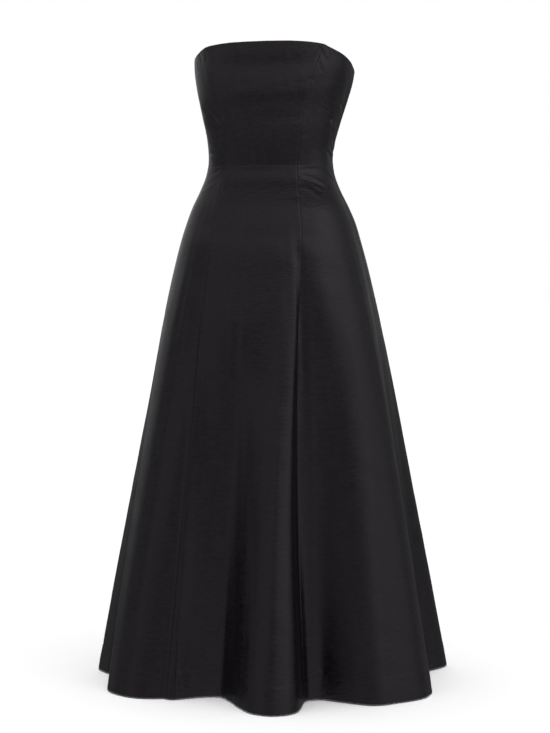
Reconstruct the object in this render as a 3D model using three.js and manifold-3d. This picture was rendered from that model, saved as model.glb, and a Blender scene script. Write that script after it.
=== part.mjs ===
// A strapless evening gown in heavy satin, worn open and hollow: a princess-seamed bodice on a waist
// seam, a floor-length flared skirt of seven gores that falls in deep cone folds, and a hidden zip at
// the centre back. Millimetres, +Z up. The origin is the middle of the waist seam, the wearer faces -Y,
// and +X is the wearer's left.
// Every cloth piece is a closed wall. Its outer face lies on one shared surface, which is worked out
// from the tables below, and its inner face is that surface moved in by the cloth's thickness.

import * as THREE from "three";
import { mergeVertices } from "three/addons/utils/BufferGeometryUtils.js";
import Module from "manifold-3d";

const BODICE_CLOTH = 2.4; // satin with its boned underlayer
const SKIRT_CLOTH = 2.0;
const SEAM_GAP = 0.3; // between two pieces that are sewn together
const HEM = -1023; // height of the hem, below the waist seam

// The body's outline at a set of heights: half the width across, the depth from the side line to the
// front and to the back, how far the side line is set back from the origin, and the curve's power.
// A power of 2 is an ellipse, and a higher one is flatter between the princess seams, rounder at them.
const SECTIONS = [
  { height: 250, halfWidth: 164, front: 100, back: 92, setBack: 32.5, power: 2.5 },
  { height: 220, halfWidth: 163, front: 106, back: 92, setBack: 30.5, power: 2.55 },
  { height: 190, halfWidth: 160.1, front: 112, back: 92, setBack: 27.3, power: 2.6 },
  { height: 160, halfWidth: 154.4, front: 116.5, back: 92, setBack: 25.6, power: 2.65 },
  { height: 130, halfWidth: 146.7, front: 113.5, back: 91.5, setBack: 19.1, power: 2.65 },
  { height: 100, halfWidth: 138.9, front: 105, back: 90, setBack: 12.9, power: 2.6 },
  { height: 70, halfWidth: 131.2, front: 95.5, back: 87.5, setBack: 6.7, power: 2.55 },
  { height: 40, halfWidth: 125.5, front: 87, back: 84.5, setBack: 0.5, power: 2.5 },
  { height: 15, halfWidth: 124.1, front: 82.5, back: 82, setBack: -3.3, power: 2.45 },
  { height: 0, halfWidth: 125.6, front: 82.5, back: 82.5, setBack: -3.8, power: 2.4 },
  { height: -20, halfWidth: 129.6, front: 85.5, back: 87, setBack: -4.6, power: 2.4 },
  { height: -50, halfWidth: 141.5, front: 94.5, back: 99.5, setBack: -5.8, power: 2.4 },
  { height: -80, halfWidth: 156.2, front: 105, back: 113.5, setBack: -4.8, power: 2.4 },
  { height: -110, halfWidth: 168.2, front: 115, back: 127, setBack: -2.6, power: 2.4 },
  { height: -150, halfWidth: 180.6, front: 125.5, back: 140, setBack: -4, power: 2.35 },
  { height: -220, halfWidth: 199.2, front: 141.5, back: 157.5, setBack: -1.5, power: 2.3 },
  { height: -310, halfWidth: 221, front: 159, back: 176, setBack: -0.5, power: 2.25 },
  { height: -460, halfWidth: 249.5, front: 185, back: 202, setBack: 3, power: 2.2 },
  { height: -650, halfWidth: 281.5, front: 215, back: 234, setBack: 2, power: 2.15 },
  { height: -850, halfWidth: 313, front: 246.5, back: 268, setBack: 0, power: 2.15 },
  { height: -1030, halfWidth: 340, front: 275, back: 298, setBack: 0, power: 2.15 },
];

// The top edge: straight across the bust, then down under the arms to the back. Degrees are round from
// centre front.
const TOP_EDGE = [
  { degrees: -12, height: 241 },
  { degrees: 0, height: 241.2 },
  { degrees: 12, height: 241 },
  { degrees: 33, height: 240.2 },
  { degrees: 44, height: 238.4 },
  { degrees: 50, height: 236.5 },
  { degrees: 56, height: 233.4 },
  { degrees: 60, height: 229.3 },
  { degrees: 65, height: 223 },
  { degrees: 70, height: 217.4 },
  { degrees: 76, height: 210.9 },
  { degrees: 86, height: 200.4 },
  { degrees: 98, height: 187.5 },
  { degrees: 115, height: 178 },
  { degrees: 140, height: 171 },
  { degrees: 168, height: 168.2 },
  { degrees: 180, height: 168 },
  { degrees: 192, height: 168.2 },
];

// Where the seams run on the left and the right, in degrees round from centre front. The wearer's left
// is positive.
const SEAMS = [
  { height: 250, frontL: 55.9, sideL: 96, backL: 133, frontR: -55.5, sideR: -96, backR: -133 },
  { height: 225, frontL: 54.4, sideL: 96, backL: 133.5, frontR: -53.1, sideR: -96, backR: -133.5 },
  { height: 200, frontL: 50.7, sideL: 96, backL: 134, frontR: -49.8, sideR: -96, backR: -134 },
  { height: 175, frontL: 47, sideL: 95, backL: 135, frontR: -46.3, sideR: -95, backR: -135 },
  { height: 140, frontL: 44.3, sideL: 95, backL: 136, frontR: -41.6, sideR: -95, backR: -136 },
  { height: 95, frontL: 44.1, sideL: 95, backL: 137, frontR: -39.6, sideR: -95, backR: -137 },
  { height: 50, frontL: 46, sideL: 94, backL: 138, frontR: -40, sideR: -94, backR: -138 },
  { height: 0, frontL: 46.2, sideL: 94, backL: 138, frontR: -43.4, sideR: -94, backR: -138 },
  { height: -60, frontL: 43.8, sideL: 93, backL: 138, frontR: -40.7, sideR: -93, backR: -138 },
  { height: -140, frontL: 41, sideL: 93, backL: 138, frontR: -37, sideR: -93, backR: -138 },
  { height: -240, frontL: 37.5, sideL: 93, backL: 138, frontR: -34.6, sideR: -93, backR: -138 },
  { height: -370, frontL: 33.8, sideL: 93, backL: 139, frontR: -33.2, sideR: -93, backR: -138 },
  { height: -490, frontL: 32.5, sideL: 94, backL: 140, frontR: -31.8, sideR: -93, backR: -138 },
  { height: -650, frontL: 32, sideL: 95, backL: 142, frontR: -29.9, sideR: -92, backR: -139 },
  { height: -830, frontL: 32.2, sideL: 96, backL: 144, frontR: -27.7, sideR: -91, backR: -140 },
  { height: -1030, frontL: 33.4, sideL: 97, backL: 146, frontR: -25.3, sideR: -90, backR: -141 },
];

// The skirt's cone folds. Each row is one line down the cloth, along a crest, a valley or a fold's
// flank: its angle at the hip, the knee and the hem, how far it lies from the skirt's axis at the hem,
// and the height it starts from.
const HIP = -200;
const KNEE = -560;
const FOLD_LINES = [
  { line: "back centre valley", hip: -178, knee: -178, hem: -178, hemRadius: 258, starts: -210 },
  { line: "right back crest", hip: -160, knee: -160, hem: -160, hemRadius: 330, starts: -210 },
  { line: "right back valley", hip: -140, knee: -141, hem: -141, hemRadius: 262, starts: -200 },
  { line: "right hind flank", hip: -131, knee: -130, hem: -130, hemRadius: 318, starts: -200 },
  { line: "right hind crest", hip: -119, knee: -119, hem: -119, hemRadius: 354, starts: -190 },
  { line: "right hind valley", hip: -102, knee: -103, hem: -103, hemRadius: 290, starts: -190 },
  { line: "right side crest", hip: -91, knee: -88, hem: -84, hemRadius: 361, starts: -190 },
  { line: "right side flank", hip: -84, knee: -81, hem: -77.3, hemRadius: 338, starts: -190 },
  { line: "right side valley", hip: -77, knee: -73, hem: -67, hemRadius: 284, starts: -220 },
  { line: "right front flank", hip: -69, knee: -64.5, hem: -56.5, hemRadius: 334, starts: -230 },
  { line: "right front crest", hip: -61, knee: -57, hem: -49.5, hemRadius: 344, starts: -200 },
  { line: "right front shoulder", hip: -50, knee: -46, hem: -39, hemRadius: 326, starts: -240 },
  { line: "right front slope", hip: -41, knee: -36, hem: -30, hemRadius: 291, starts: -250 },
  { line: "right seam edge", hip: -37, knee: -31, hem: -26, hemRadius: 278, starts: -250 },
  { line: "right seam foot", hip: -33, knee: -27, hem: -22, hemRadius: 242, starts: -280 },
  { line: "front valley", hip: -14, knee: -14, hem: -13, hemRadius: 220, starts: -330 },
  { line: "front wall foot", hip: 5, knee: 1, hem: -3, hemRadius: 233, starts: -330 },
  { line: "front wall", hip: 13, knee: 8, hem: 4.5, hemRadius: 275, starts: -320 },
  { line: "front wall top", hip: 19, knee: 14, hem: 10, hemRadius: 311, starts: -300 },
  { line: "front crest", hip: 27, knee: 21, hem: 18.5, hemRadius: 327, starts: -230 },
  { line: "front crest edge", hip: 34, knee: 27, hem: 26, hemRadius: 305, starts: -150 },
  { line: "left seam valley", hip: 38.5, knee: 31.8, hem: 32.5, hemRadius: 232, starts: -80 },
  { line: "left seam flat", hip: 43, knee: 41.5, hem: 41, hemRadius: 233, starts: -150 },
  { line: "left front wall", hip: 53, knee: 51, hem: 48.5, hemRadius: 268, starts: -230 },
  { line: "left wall top", hip: 60, knee: 57, hem: 54, hemRadius: 306, starts: -230 },
  { line: "left front shoulder", hip: 64, knee: 64, hem: 64, hemRadius: 333, starts: -230 },
  { line: "left front crest", hip: 72, knee: 73.5, hem: 76, hemRadius: 349, starts: -190 },
  { line: "left front edge", hip: 80, knee: 81.5, hem: 84, hemRadius: 341, starts: -170 },
  { line: "left side valley", hip: 93, knee: 95.5, hem: 98, hemRadius: 276, starts: -150 },
  { line: "left hind flank", hip: 105, knee: 109, hem: 113, hemRadius: 324, starts: -160 },
  { line: "left hind crest", hip: 116, knee: 119, hem: 122.5, hemRadius: 379, starts: -160 },
  { line: "left hind edge", hip: 132, knee: 133, hem: 134, hemRadius: 338, starts: -190 },
  { line: "left back valley", hip: 145, knee: 146, hem: 147, hemRadius: 264, starts: -200 },
  { line: "left back crest", hip: 163, knee: 163, hem: 163, hemRadius: 324, starts: -210 },
];
const FOLD_SOFT_START = 0.12; // share of a fold's length over which it grows out of the plain cloth

// How finely the cloth is faceted.
const BODICE_ROWS = 9;
const BODICE_COLUMN = 19; // mm along the waist
const BODICE_LEAST_COLUMNS = 4;
const SKIRT_HEIGHTS = [-20, -45, -75, -110, -155, -210, -280, -370, -480, -610, -750, -885];
const SKIRT_COLUMN = 19; // mm along the hem
const HEM_SAMPLES = 90; // steps in which a gore's hem is measured
const METAL_FACETS = 6; // on each curve of the slider and the pull
const TOP_EDGE_PASSES = 4; // in which a row's height settles on the sloping top edge

// The zip, behind the centre back seam.
const ZIP_FOOT = -210; // its lower end is one of the skirt's heights
const ZIP_TAPE = { halfWidth: 13, thickness: 1, clearOfBodice: 0.5 };
const SLIDER = {
  width: 5.4, length: 10, shoulder: 2, taper: 0.7, thickness: 2, belowTop: 10, clearance: 0.3,
};
const CROWN = { width: 1.6, reach: 3.3, inside: 2, thickness: 0.9, round: 1.2, sunk: 0.5 };
const PULL = {
  thickness: 1.2, bar: 1.2, slotHalfWidth: 1.4, slotEnd: 4.4, neck: 2.7, neckEnd: 5.4,
  bellyStart: 9.4, bellyEnd: 17, belly: 3.6, length: 25,
};

const SATIN_COLOUR = 0x232125;
const ZIP_COLOUR = 0x1b1a1c;
const satin = new THREE.MeshStandardMaterial({ color: SATIN_COLOUR, roughness: 0.42, metalness: 0 });
const zipTapeCloth = new THREE.MeshStandardMaterial({ color: ZIP_COLOUR, roughness: 0.8, metalness: 0 });
const zipMetal = new THREE.MeshStandardMaterial({ color: ZIP_COLOUR, roughness: 0.35, metalness: 0.6 });

const wasm = await Module();
wasm.setup();

// Smooth curves through the rows of a table, one for each column, read at any value of its first column.
function curvesThrough(rows, position, columns) {
  const sorted = [...rows].sort((a, b) => a[position] - b[position]);
  const at = sorted.map((row) => row[position]);
  const values = sorted.flatMap((row) => columns.map((column) => row[column]));
  const curve = new THREE.CubicInterpolant(at, values, columns.length);
  return (where) => {
    const found = curve.evaluate(where);
    return Object.fromEntries(columns.map((column, i) => [column, found[i]]));
  };
}

const sectionAt = curvesThrough(SECTIONS, "height", ["halfWidth", "front", "back", "setBack", "power"]);
const seamsAt = curvesThrough(SEAMS, "height", [
  "frontL", "sideL", "backL", "frontR", "sideR", "backR",
]);

const topEdgeAt = curvesThrough(TOP_EDGE, "degrees", ["height"]);
function topEdge(degrees) {
  return topEdgeAt(Math.abs(degrees)).height;
}

// Distance from the section's middle to its outline, with no folds.
function plainRadius(degrees, height) {
  const { halfWidth, front, back, power } = sectionAt(height);
  const across = Math.abs(Math.sin(THREE.MathUtils.degToRad(degrees))) / halfWidth;
  const cosine = Math.cos(THREE.MathUtils.degToRad(degrees));
  const along = Math.abs(cosine) / (cosine > 0 ? front : back);
  return (across ** power + along ** power) ** (-1 / power);
}

const foldPaths = FOLD_LINES.map((row) => ({
  ...row,
  hemOffset: row.hemRadius - plainRadius(row.hem, HEM),
  angleAt: curvesThrough(
    [{ height: HEM, angle: row.hem }, { height: KNEE, angle: row.knee }, { height: HIP, angle: row.hip }],
    "height", ["angle"],
  ),
}));

// The folds' offsets all round, at one height, as a smooth curve that closes on itself.
const foldsAtHeight = new Map();
function foldsAt(height) {
  if (!foldsAtHeight.has(height)) {
    const round = foldPaths.map(({ angleAt, hemOffset, starts }) => {
      const share = Math.max(0, (starts - height) / (starts - HEM));
      const growth = (share * share * (1 + FOLD_SOFT_START)) / (share + FOLD_SOFT_START);
      return { angle: angleAt(Math.min(height, HIP)).angle, offset: hemOffset * growth };
    });
    const before = round.slice(-3).map(({ angle, offset }) => ({ angle: angle - 360, offset }));
    const after = round.slice(0, 3).map(({ angle, offset }) => ({ angle: angle + 360, offset }));
    foldsAtHeight.set(height, curvesThrough([...before, ...round, ...after], "angle", ["offset"]));
  }
  return foldsAtHeight.get(height);
}

// A point of the shared outer surface.
function surfacePoint(degrees, height) {
  const fold = height < 0 ? foldsAt(height)(degrees).offset : 0;
  const radius = plainRadius(degrees, height) + fold;
  const angle = THREE.MathUtils.degToRad(degrees);
  const { setBack } = sectionAt(height);
  return new THREE.Vector3(radius * Math.sin(angle), setBack - radius * Math.cos(angle), height);
}

// The same point moved level towards the inside, so that a wall this thick lies between the two.
const NEAR_ANGLE = 0.05;
const NEAR_HEIGHT = 0.5;
function movedIn(degrees, height, depth) {
  const point = surfacePoint(degrees, height);
  const round = surfacePoint(degrees + NEAR_ANGLE, height).sub(point);
  const down = surfacePoint(degrees, height - NEAR_HEIGHT).sub(point);
  const outward = new THREE.Vector3().crossVectors(down, round).normalize();
  const level = Math.hypot(outward.x, outward.y);
  point.x -= (outward.x / level) * (depth / level);
  point.y -= (outward.y / level) * (depth / level);
  return point;
}

// How many degrees make up a distance along the cloth, here.
function degreesFor(distance, degrees, height) {
  const step = surfacePoint(degrees + NEAR_ANGLE, height).distanceTo(surfacePoint(degrees, height));
  return (distance / step) * NEAR_ANGLE;
}

// A closed wall over a grid of places on the surface, from one depth under it to another.
function wall(places, outerDepth, innerDepth) {
  const rows = places.length;
  const columns = places[0].length;
  const position = [];
  for (const depth of [outerDepth, innerDepth])
    for (const row of places)
      for (const { degrees, height } of row) position.push(...movedIn(degrees, height, depth).toArray());
  const at = (side, row, column) => side * rows * columns + row * columns + column;
  const index = [];
  const face = (a, b, c, d) => index.push(c, b, a, d, c, a);
  for (let r = 0; r + 1 < rows; r++)
    for (let c = 0; c + 1 < columns; c++) {
      face(at(0, r, c), at(0, r, c + 1), at(0, r + 1, c + 1), at(0, r + 1, c));
      face(at(1, r, c), at(1, r + 1, c), at(1, r + 1, c + 1), at(1, r, c + 1));
    }
  for (let c = 0; c + 1 < columns; c++) {
    face(at(1, 0, c), at(1, 0, c + 1), at(0, 0, c + 1), at(0, 0, c));
    face(at(0, rows - 1, c), at(0, rows - 1, c + 1), at(1, rows - 1, c + 1), at(1, rows - 1, c));
  }
  // Both side edges are split along the same diagonal, so that two twisted edges at a seam stay clear.
  for (let r = 0; r + 1 < rows; r++) {
    face(at(0, r, 0), at(0, r + 1, 0), at(1, r + 1, 0), at(1, r, 0));
    face(at(0, r, columns - 1), at(1, r, columns - 1), at(1, r + 1, columns - 1), at(0, r + 1, columns - 1));
  }
  const geometry = new THREE.BufferGeometry();
  geometry.setAttribute("position", new THREE.Float32BufferAttribute(position, 3));
  geometry.setIndex(index);
  return geometry;
}

// The seven panels all round, each from one seam to the next, for the bodice and again for the skirt.
const PANELS = [
  { panel: "front", from: (s) => s.frontR, to: (s) => s.frontL },
  { panel: "side_front_left", from: (s) => s.frontL, to: (s) => s.sideL },
  { panel: "side_back_left", from: (s) => s.sideL, to: (s) => s.backL },
  { panel: "back_left", from: (s) => s.backL, to: () => 180 },
  { panel: "back_right", from: () => -180, to: (s) => s.backR },
  { panel: "side_back_right", from: (s) => s.backR, to: (s) => s.sideR },
  { panel: "side_front_right", from: (s) => s.sideR, to: (s) => s.frontR },
];

// A panel's place at a share of its width, with half of each seam's gap left free.
function acrossPanel({ from, to }, share, height) {
  const seams = seamsAt(height);
  const start = from(seams);
  const end = to(seams);
  const first = start + degreesFor(SEAM_GAP / 2, start, height);
  const last = end - degreesFor(SEAM_GAP / 2, end, height);
  return first + share * (last - first);
}

function bodicePanel(panel) {
  const [start, end] = [0, 1].map((share) => surfacePoint(acrossPanel(panel, share, 0), 0));
  const columns = Math.max(BODICE_LEAST_COLUMNS, Math.ceil(start.distanceTo(end) / BODICE_COLUMN) + 1);
  const places = [];
  for (let row = BODICE_ROWS; row >= 0; row--) {
    places.push([]);
    for (let column = 0; column <= columns; column++) {
      const share = column / columns;
      // The top edge falls towards the back, so a row's height depends on its angle, and the other way round.
      let height = (row / BODICE_ROWS) * topEdge(0);
      for (let pass = 0; pass < TOP_EDGE_PASSES; pass++) {
        const top = topEdge(acrossPanel(panel, share, height));
        height = SEAM_GAP / 2 + (row / BODICE_ROWS) * (top - SEAM_GAP / 2);
      }
      places[places.length - 1].push({ degrees: acrossPanel(panel, share, height), height });
    }
  }
  return wall(places, 0, BODICE_CLOTH);
}

const NO_LENGTH = 1e-9;

// Shares of a gore's width that are equally far apart along its folded hem.
function evenAlongHem(panel) {
  const along = [0];
  for (let i = 1; i <= HEM_SAMPLES; i++) {
    const here = surfacePoint(acrossPanel(panel, i / HEM_SAMPLES, HEM), HEM);
    const last = surfacePoint(acrossPanel(panel, (i - 1) / HEM_SAMPLES, HEM), HEM);
    along.push(along[i - 1] + here.distanceTo(last));
  }
  const columns = Math.ceil(along[HEM_SAMPLES] / SKIRT_COLUMN);
  return Array.from({ length: columns + 1 }, (_, column) => {
    const wanted = (column / columns) * along[HEM_SAMPLES];
    const past = Math.max(1, along.findIndex((reached) => reached >= wanted - NO_LENGTH));
    const part = (wanted - along[past - 1]) / (along[past] - along[past - 1]);
    return (past - 1 + part) / HEM_SAMPLES;
  });
}

function skirtGore(panel) {
  const shares = evenAlongHem(panel);
  const heights = [-SEAM_GAP / 2, ...SKIRT_HEIGHTS, HEM];
  const places = heights.map((height) =>
    shares.map((share) => ({ degrees: acrossPanel(panel, share, height), height })),
  );
  return wall(places, 0, SKIRT_CLOTH);
}

// The two tapes of the closed zip, as one strip just inside the cloth on both sides of centre back.
function zipTape() {
  const top = topEdge(180);
  const bodiceHeights = Array.from(
    { length: BODICE_ROWS + 1 },
    (_, row) => SEAM_GAP / 2 + (1 - row / BODICE_ROWS) * (top - SEAM_GAP / 2),
  );
  const skirtHeights = [-SEAM_GAP / 2, ...SKIRT_HEIGHTS.filter((height) => height >= ZIP_FOOT)];
  const places = [...bodiceHeights, ...skirtHeights].map((height) =>
    [-1, 0, 1].map((side) => ({
      degrees: 180 + degreesFor(side * ZIP_TAPE.halfWidth, 180, height),
      height,
    })),
  );
  const depth = BODICE_CLOTH + ZIP_TAPE.clearOfBodice;
  return wall(places, depth, depth + ZIP_TAPE.thickness);
}

const MERGE_WITHIN = 1e-4;

function solidOf(geometry) {
  geometry.deleteAttribute("normal");
  geometry.deleteAttribute("uv");
  const merged = mergeVertices(geometry, MERGE_WITHIN);
  return new wasm.Manifold(
    new wasm.Mesh({
      numProp: 3,
      vertProperties: merged.attributes.position.array,
      triVerts: new Uint32Array(merged.index.array),
    }),
  );
}

function geometryOf(solid) {
  const mesh = solid.getMesh();
  const geometry = new THREE.BufferGeometry();
  geometry.setAttribute("position", new THREE.BufferAttribute(new Float32Array(mesh.vertProperties), 3));
  geometry.setIndex(new THREE.BufferAttribute(new Uint32Array(mesh.triVerts), 1));
  return geometry;
}

function extruded(shape, depth) {
  return new THREE.ExtrudeGeometry(shape, { depth, bevelEnabled: false, curveSegments: METAL_FACETS });
}

const X_AXIS = new THREE.Vector3(1, 0, 0);
const Y_AXIS = new THREE.Vector3(0, 1, 0);
const Z_AXIS = new THREE.Vector3(0, 0, 1);

// The slider in its own frame: X across, Y up along the zip and Z out of the cloth.
function sliderGeometry() {
  const { width, length, shoulder, taper, thickness } = SLIDER;
  const outline = new THREE.Shape();
  outline.moveTo(-width / 2, length / 2 - shoulder);
  outline.quadraticCurveTo(-width / 2, length / 2, 0, length / 2);
  outline.quadraticCurveTo(width / 2, length / 2, width / 2, length / 2 - shoulder);
  outline.lineTo(width / 2 - taper, -length / 2);
  outline.lineTo(-width / 2 + taper, -length / 2);
  outline.closePath();
  const plate = extruded(outline, thickness);
  // The crown is an arch along the zip, over the pull's bar.
  const { reach, round } = CROWN;
  const foot = thickness - CROWN.sunk;
  const under = thickness + CROWN.inside;
  const top = under + CROWN.thickness;
  const arch = new THREE.Shape();
  arch.moveTo(-reach, foot);
  arch.lineTo(-reach, under);
  arch.quadraticCurveTo(-reach, top, -reach + round, top);
  arch.lineTo(reach - round, top);
  arch.quadraticCurveTo(reach, top, reach, under);
  arch.lineTo(reach, foot);
  arch.lineTo(reach - CROWN.thickness, foot);
  arch.lineTo(reach - CROWN.thickness, under);
  arch.lineTo(-reach + CROWN.thickness, under);
  arch.lineTo(-reach + CROWN.thickness, foot);
  arch.closePath();
  const crown = extruded(arch, CROWN.width);
  crown.translate(0, 0, -CROWN.width / 2);
  // The arch is drawn along X and up Y, and its length turns to run along the zip.
  crown.applyMatrix4(new THREE.Matrix4().makeBasis(Y_AXIS, Z_AXIS, X_AXIS));
  return geometryOf(solidOf(plate).add(solidOf(crown)));
}

// The pull hangs down from the middle of its bar: X across, Y up, Z through its thickness.
function pullGeometry() {
  const { thickness, bar, slotHalfWidth, slotEnd, neck, neckEnd, belly, bellyStart, bellyEnd } = PULL;
  const roundCentre = belly - PULL.length;
  const outline = new THREE.Shape();
  outline.moveTo(-neck, bar / 2);
  outline.lineTo(-neck, -neckEnd);
  outline.bezierCurveTo(-neck, -bellyStart, -belly, -bellyEnd, -belly, roundCentre);
  outline.absarc(0, roundCentre, belly, Math.PI, 2 * Math.PI, false);
  outline.bezierCurveTo(belly, -bellyEnd, neck, -bellyStart, neck, -neckEnd);
  outline.lineTo(neck, bar / 2);
  outline.closePath();
  const slot = new THREE.Path();
  slot.moveTo(-slotHalfWidth, -bar / 2);
  slot.lineTo(-slotHalfWidth, -slotEnd);
  slot.lineTo(slotHalfWidth, -slotEnd);
  slot.lineTo(slotHalfWidth, -bar / 2);
  slot.closePath();
  outline.holes.push(slot);
  const plate = extruded(outline, thickness);
  plate.translate(0, 0, -thickness / 2);
  return plate;
}

// The frame that the slider stands in, on the cloth at the top of the zip.
function zipTopFrame() {
  const height = topEdge(180) - SLIDER.belowTop;
  const seat = surfacePoint(180, height);
  const above = surfacePoint(180, height + NEAR_HEIGHT);
  const up = above.sub(surfacePoint(180, height - NEAR_HEIGHT)).normalize();
  const across = X_AXIS.clone().negate();
  const out = new THREE.Vector3().crossVectors(across, up).normalize();
  return { seat, across, up, out };
}

function named(name, geometry, material) {
  const mesh = new THREE.Mesh(geometry, material);
  mesh.name = name;
  return mesh;
}

const dress = new THREE.Group();
dress.name = "strapless_dress";
for (const panel of PANELS) {
  dress.add(named(`bodice_${panel.panel}`, bodicePanel(panel), satin));
  dress.add(named(`skirt_${panel.panel}`, skirtGore(panel), satin));
}
dress.add(named("zip_tape", zipTape(), zipTapeCloth));

const { seat, across, up, out } = zipTopFrame();
const slider = named("zip_slider", sliderGeometry(), zipMetal);
slider.position.copy(seat).addScaledVector(out, SLIDER.clearance);
slider.quaternion.setFromRotationMatrix(new THREE.Matrix4().makeBasis(across, up, out));
dress.add(slider);

// The pull's bar lies in the middle of the crown's inside, and the pull hangs plumb from it.
const pull = named("zip_pull", pullGeometry(), zipMetal);
pull.position.copy(seat).addScaledVector(out, SLIDER.clearance + SLIDER.thickness + CROWN.inside / 2);
pull.quaternion.setFromRotationMatrix(new THREE.Matrix4().makeBasis(X_AXIS.clone().negate(), Z_AXIS, Y_AXIS));
dress.add(pull);

export default dress;
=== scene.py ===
"""A strapless satin evening gown, filled out as it is worn.

The cloth of every panel is worked out on the same surface as its solid, with the creases, seam puckers
and hem stitches added in the cloth's own millimetres. Lengths are millimetres until a mesh is made.
Degrees run round the body from centre front, and the wearer's left is positive.
"""
import math

import bmesh
import bpy
import numpy as np
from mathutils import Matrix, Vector


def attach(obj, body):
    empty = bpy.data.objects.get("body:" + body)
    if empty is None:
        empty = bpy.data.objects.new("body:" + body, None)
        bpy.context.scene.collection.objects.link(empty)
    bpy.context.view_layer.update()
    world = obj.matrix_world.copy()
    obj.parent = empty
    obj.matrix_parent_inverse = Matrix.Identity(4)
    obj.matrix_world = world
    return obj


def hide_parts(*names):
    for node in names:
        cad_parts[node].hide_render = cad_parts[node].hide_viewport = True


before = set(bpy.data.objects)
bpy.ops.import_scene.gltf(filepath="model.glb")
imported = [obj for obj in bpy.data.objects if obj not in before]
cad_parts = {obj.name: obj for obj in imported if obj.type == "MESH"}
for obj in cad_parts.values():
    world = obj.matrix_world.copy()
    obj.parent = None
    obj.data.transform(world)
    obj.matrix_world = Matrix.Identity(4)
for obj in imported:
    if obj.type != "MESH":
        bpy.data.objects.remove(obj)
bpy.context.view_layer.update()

MM = 0.001
HEM = -1023.0
HIP = -200.0
KNEE = -560.0
FOLD_SOFT_START = 0.12
SEAM_GAP = 0.02  # two panels meet here, and one tucks behind the other
SEAM_TUCK = 1.0

SECTION_COLUMNS = ("height", "half_width", "front", "back", "set_back", "power")
SECTIONS = [
    (250, 164, 100, 92, 32.5, 2.5), (220, 163, 106, 92, 30.5, 2.55), (190, 160.1, 112, 92, 27.3, 2.6),
    (160, 154.4, 116.5, 92, 25.6, 2.65), (130, 146.7, 113.5, 91.5, 19.1, 2.65),
    (100, 138.9, 105, 90, 12.9, 2.6), (70, 131.2, 95.5, 87.5, 6.7, 2.55),
    (40, 125.5, 87, 84.5, 0.5, 2.5), (15, 124.1, 82.5, 82, -3.3, 2.45),
    (0, 125.6, 82.5, 82.5, -3.8, 2.4), (-20, 129.6, 85.5, 87, -4.6, 2.4),
    (-50, 141.5, 94.5, 99.5, -5.8, 2.4), (-80, 156.2, 105, 113.5, -4.8, 2.4),
    (-110, 168.2, 115, 127, -2.6, 2.4), (-150, 180.6, 125.5, 140, -4, 2.35),
    (-220, 199.2, 141.5, 157.5, -1.5, 2.3), (-310, 221, 159, 176, -0.5, 2.25),
    (-460, 249.5, 185, 202, 3, 2.2), (-650, 281.5, 215, 234, 2, 2.15), (-850, 313, 246.5, 268, 0, 2.15),
    (-1030, 340, 275, 298, 0, 2.15),
]

TOP_EDGE = [
    (-12, 241), (0, 241.2), (12, 241), (33, 240.2), (44, 238.4), (50, 236.5), (56, 233.4), (60, 229.3),
    (65, 223), (70, 217.4), (76, 210.9), (86, 200.4), (98, 187.5), (115, 178), (140, 171), (168, 168.2),
    (180, 168), (192, 168.2),
]

SEAM_COLUMNS = ("height", "front_l", "side_l", "back_l", "front_r", "side_r", "back_r")
SEAMS = [
    (250, 55.9, 96, 133, -55.5, -96, -133), (225, 54.4, 96, 133.5, -53.1, -96, -133.5),
    (200, 50.7, 96, 134, -49.8, -96, -134), (175, 47, 95, 135, -46.3, -95, -135),
    (140, 44.3, 95, 136, -41.6, -95, -136), (95, 44.1, 95, 137, -39.6, -95, -137),
    (50, 46, 94, 138, -40, -94, -138), (0, 46.2, 94, 138, -43.4, -94, -138),
    (-60, 43.8, 93, 138, -40.7, -93, -138), (-140, 41, 93, 138, -37, -93, -138),
    (-240, 37.5, 93, 138, -34.6, -93, -138), (-370, 33.8, 93, 139, -33.2, -93, -138),
    (-490, 32.5, 94, 140, -31.8, -93, -138), (-650, 32, 95, 142, -29.9, -92, -139),
    (-830, 32.2, 96, 144, -27.7, -91, -140), (-1030, 33.4, 97, 146, -25.3, -90, -141),
]

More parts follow.
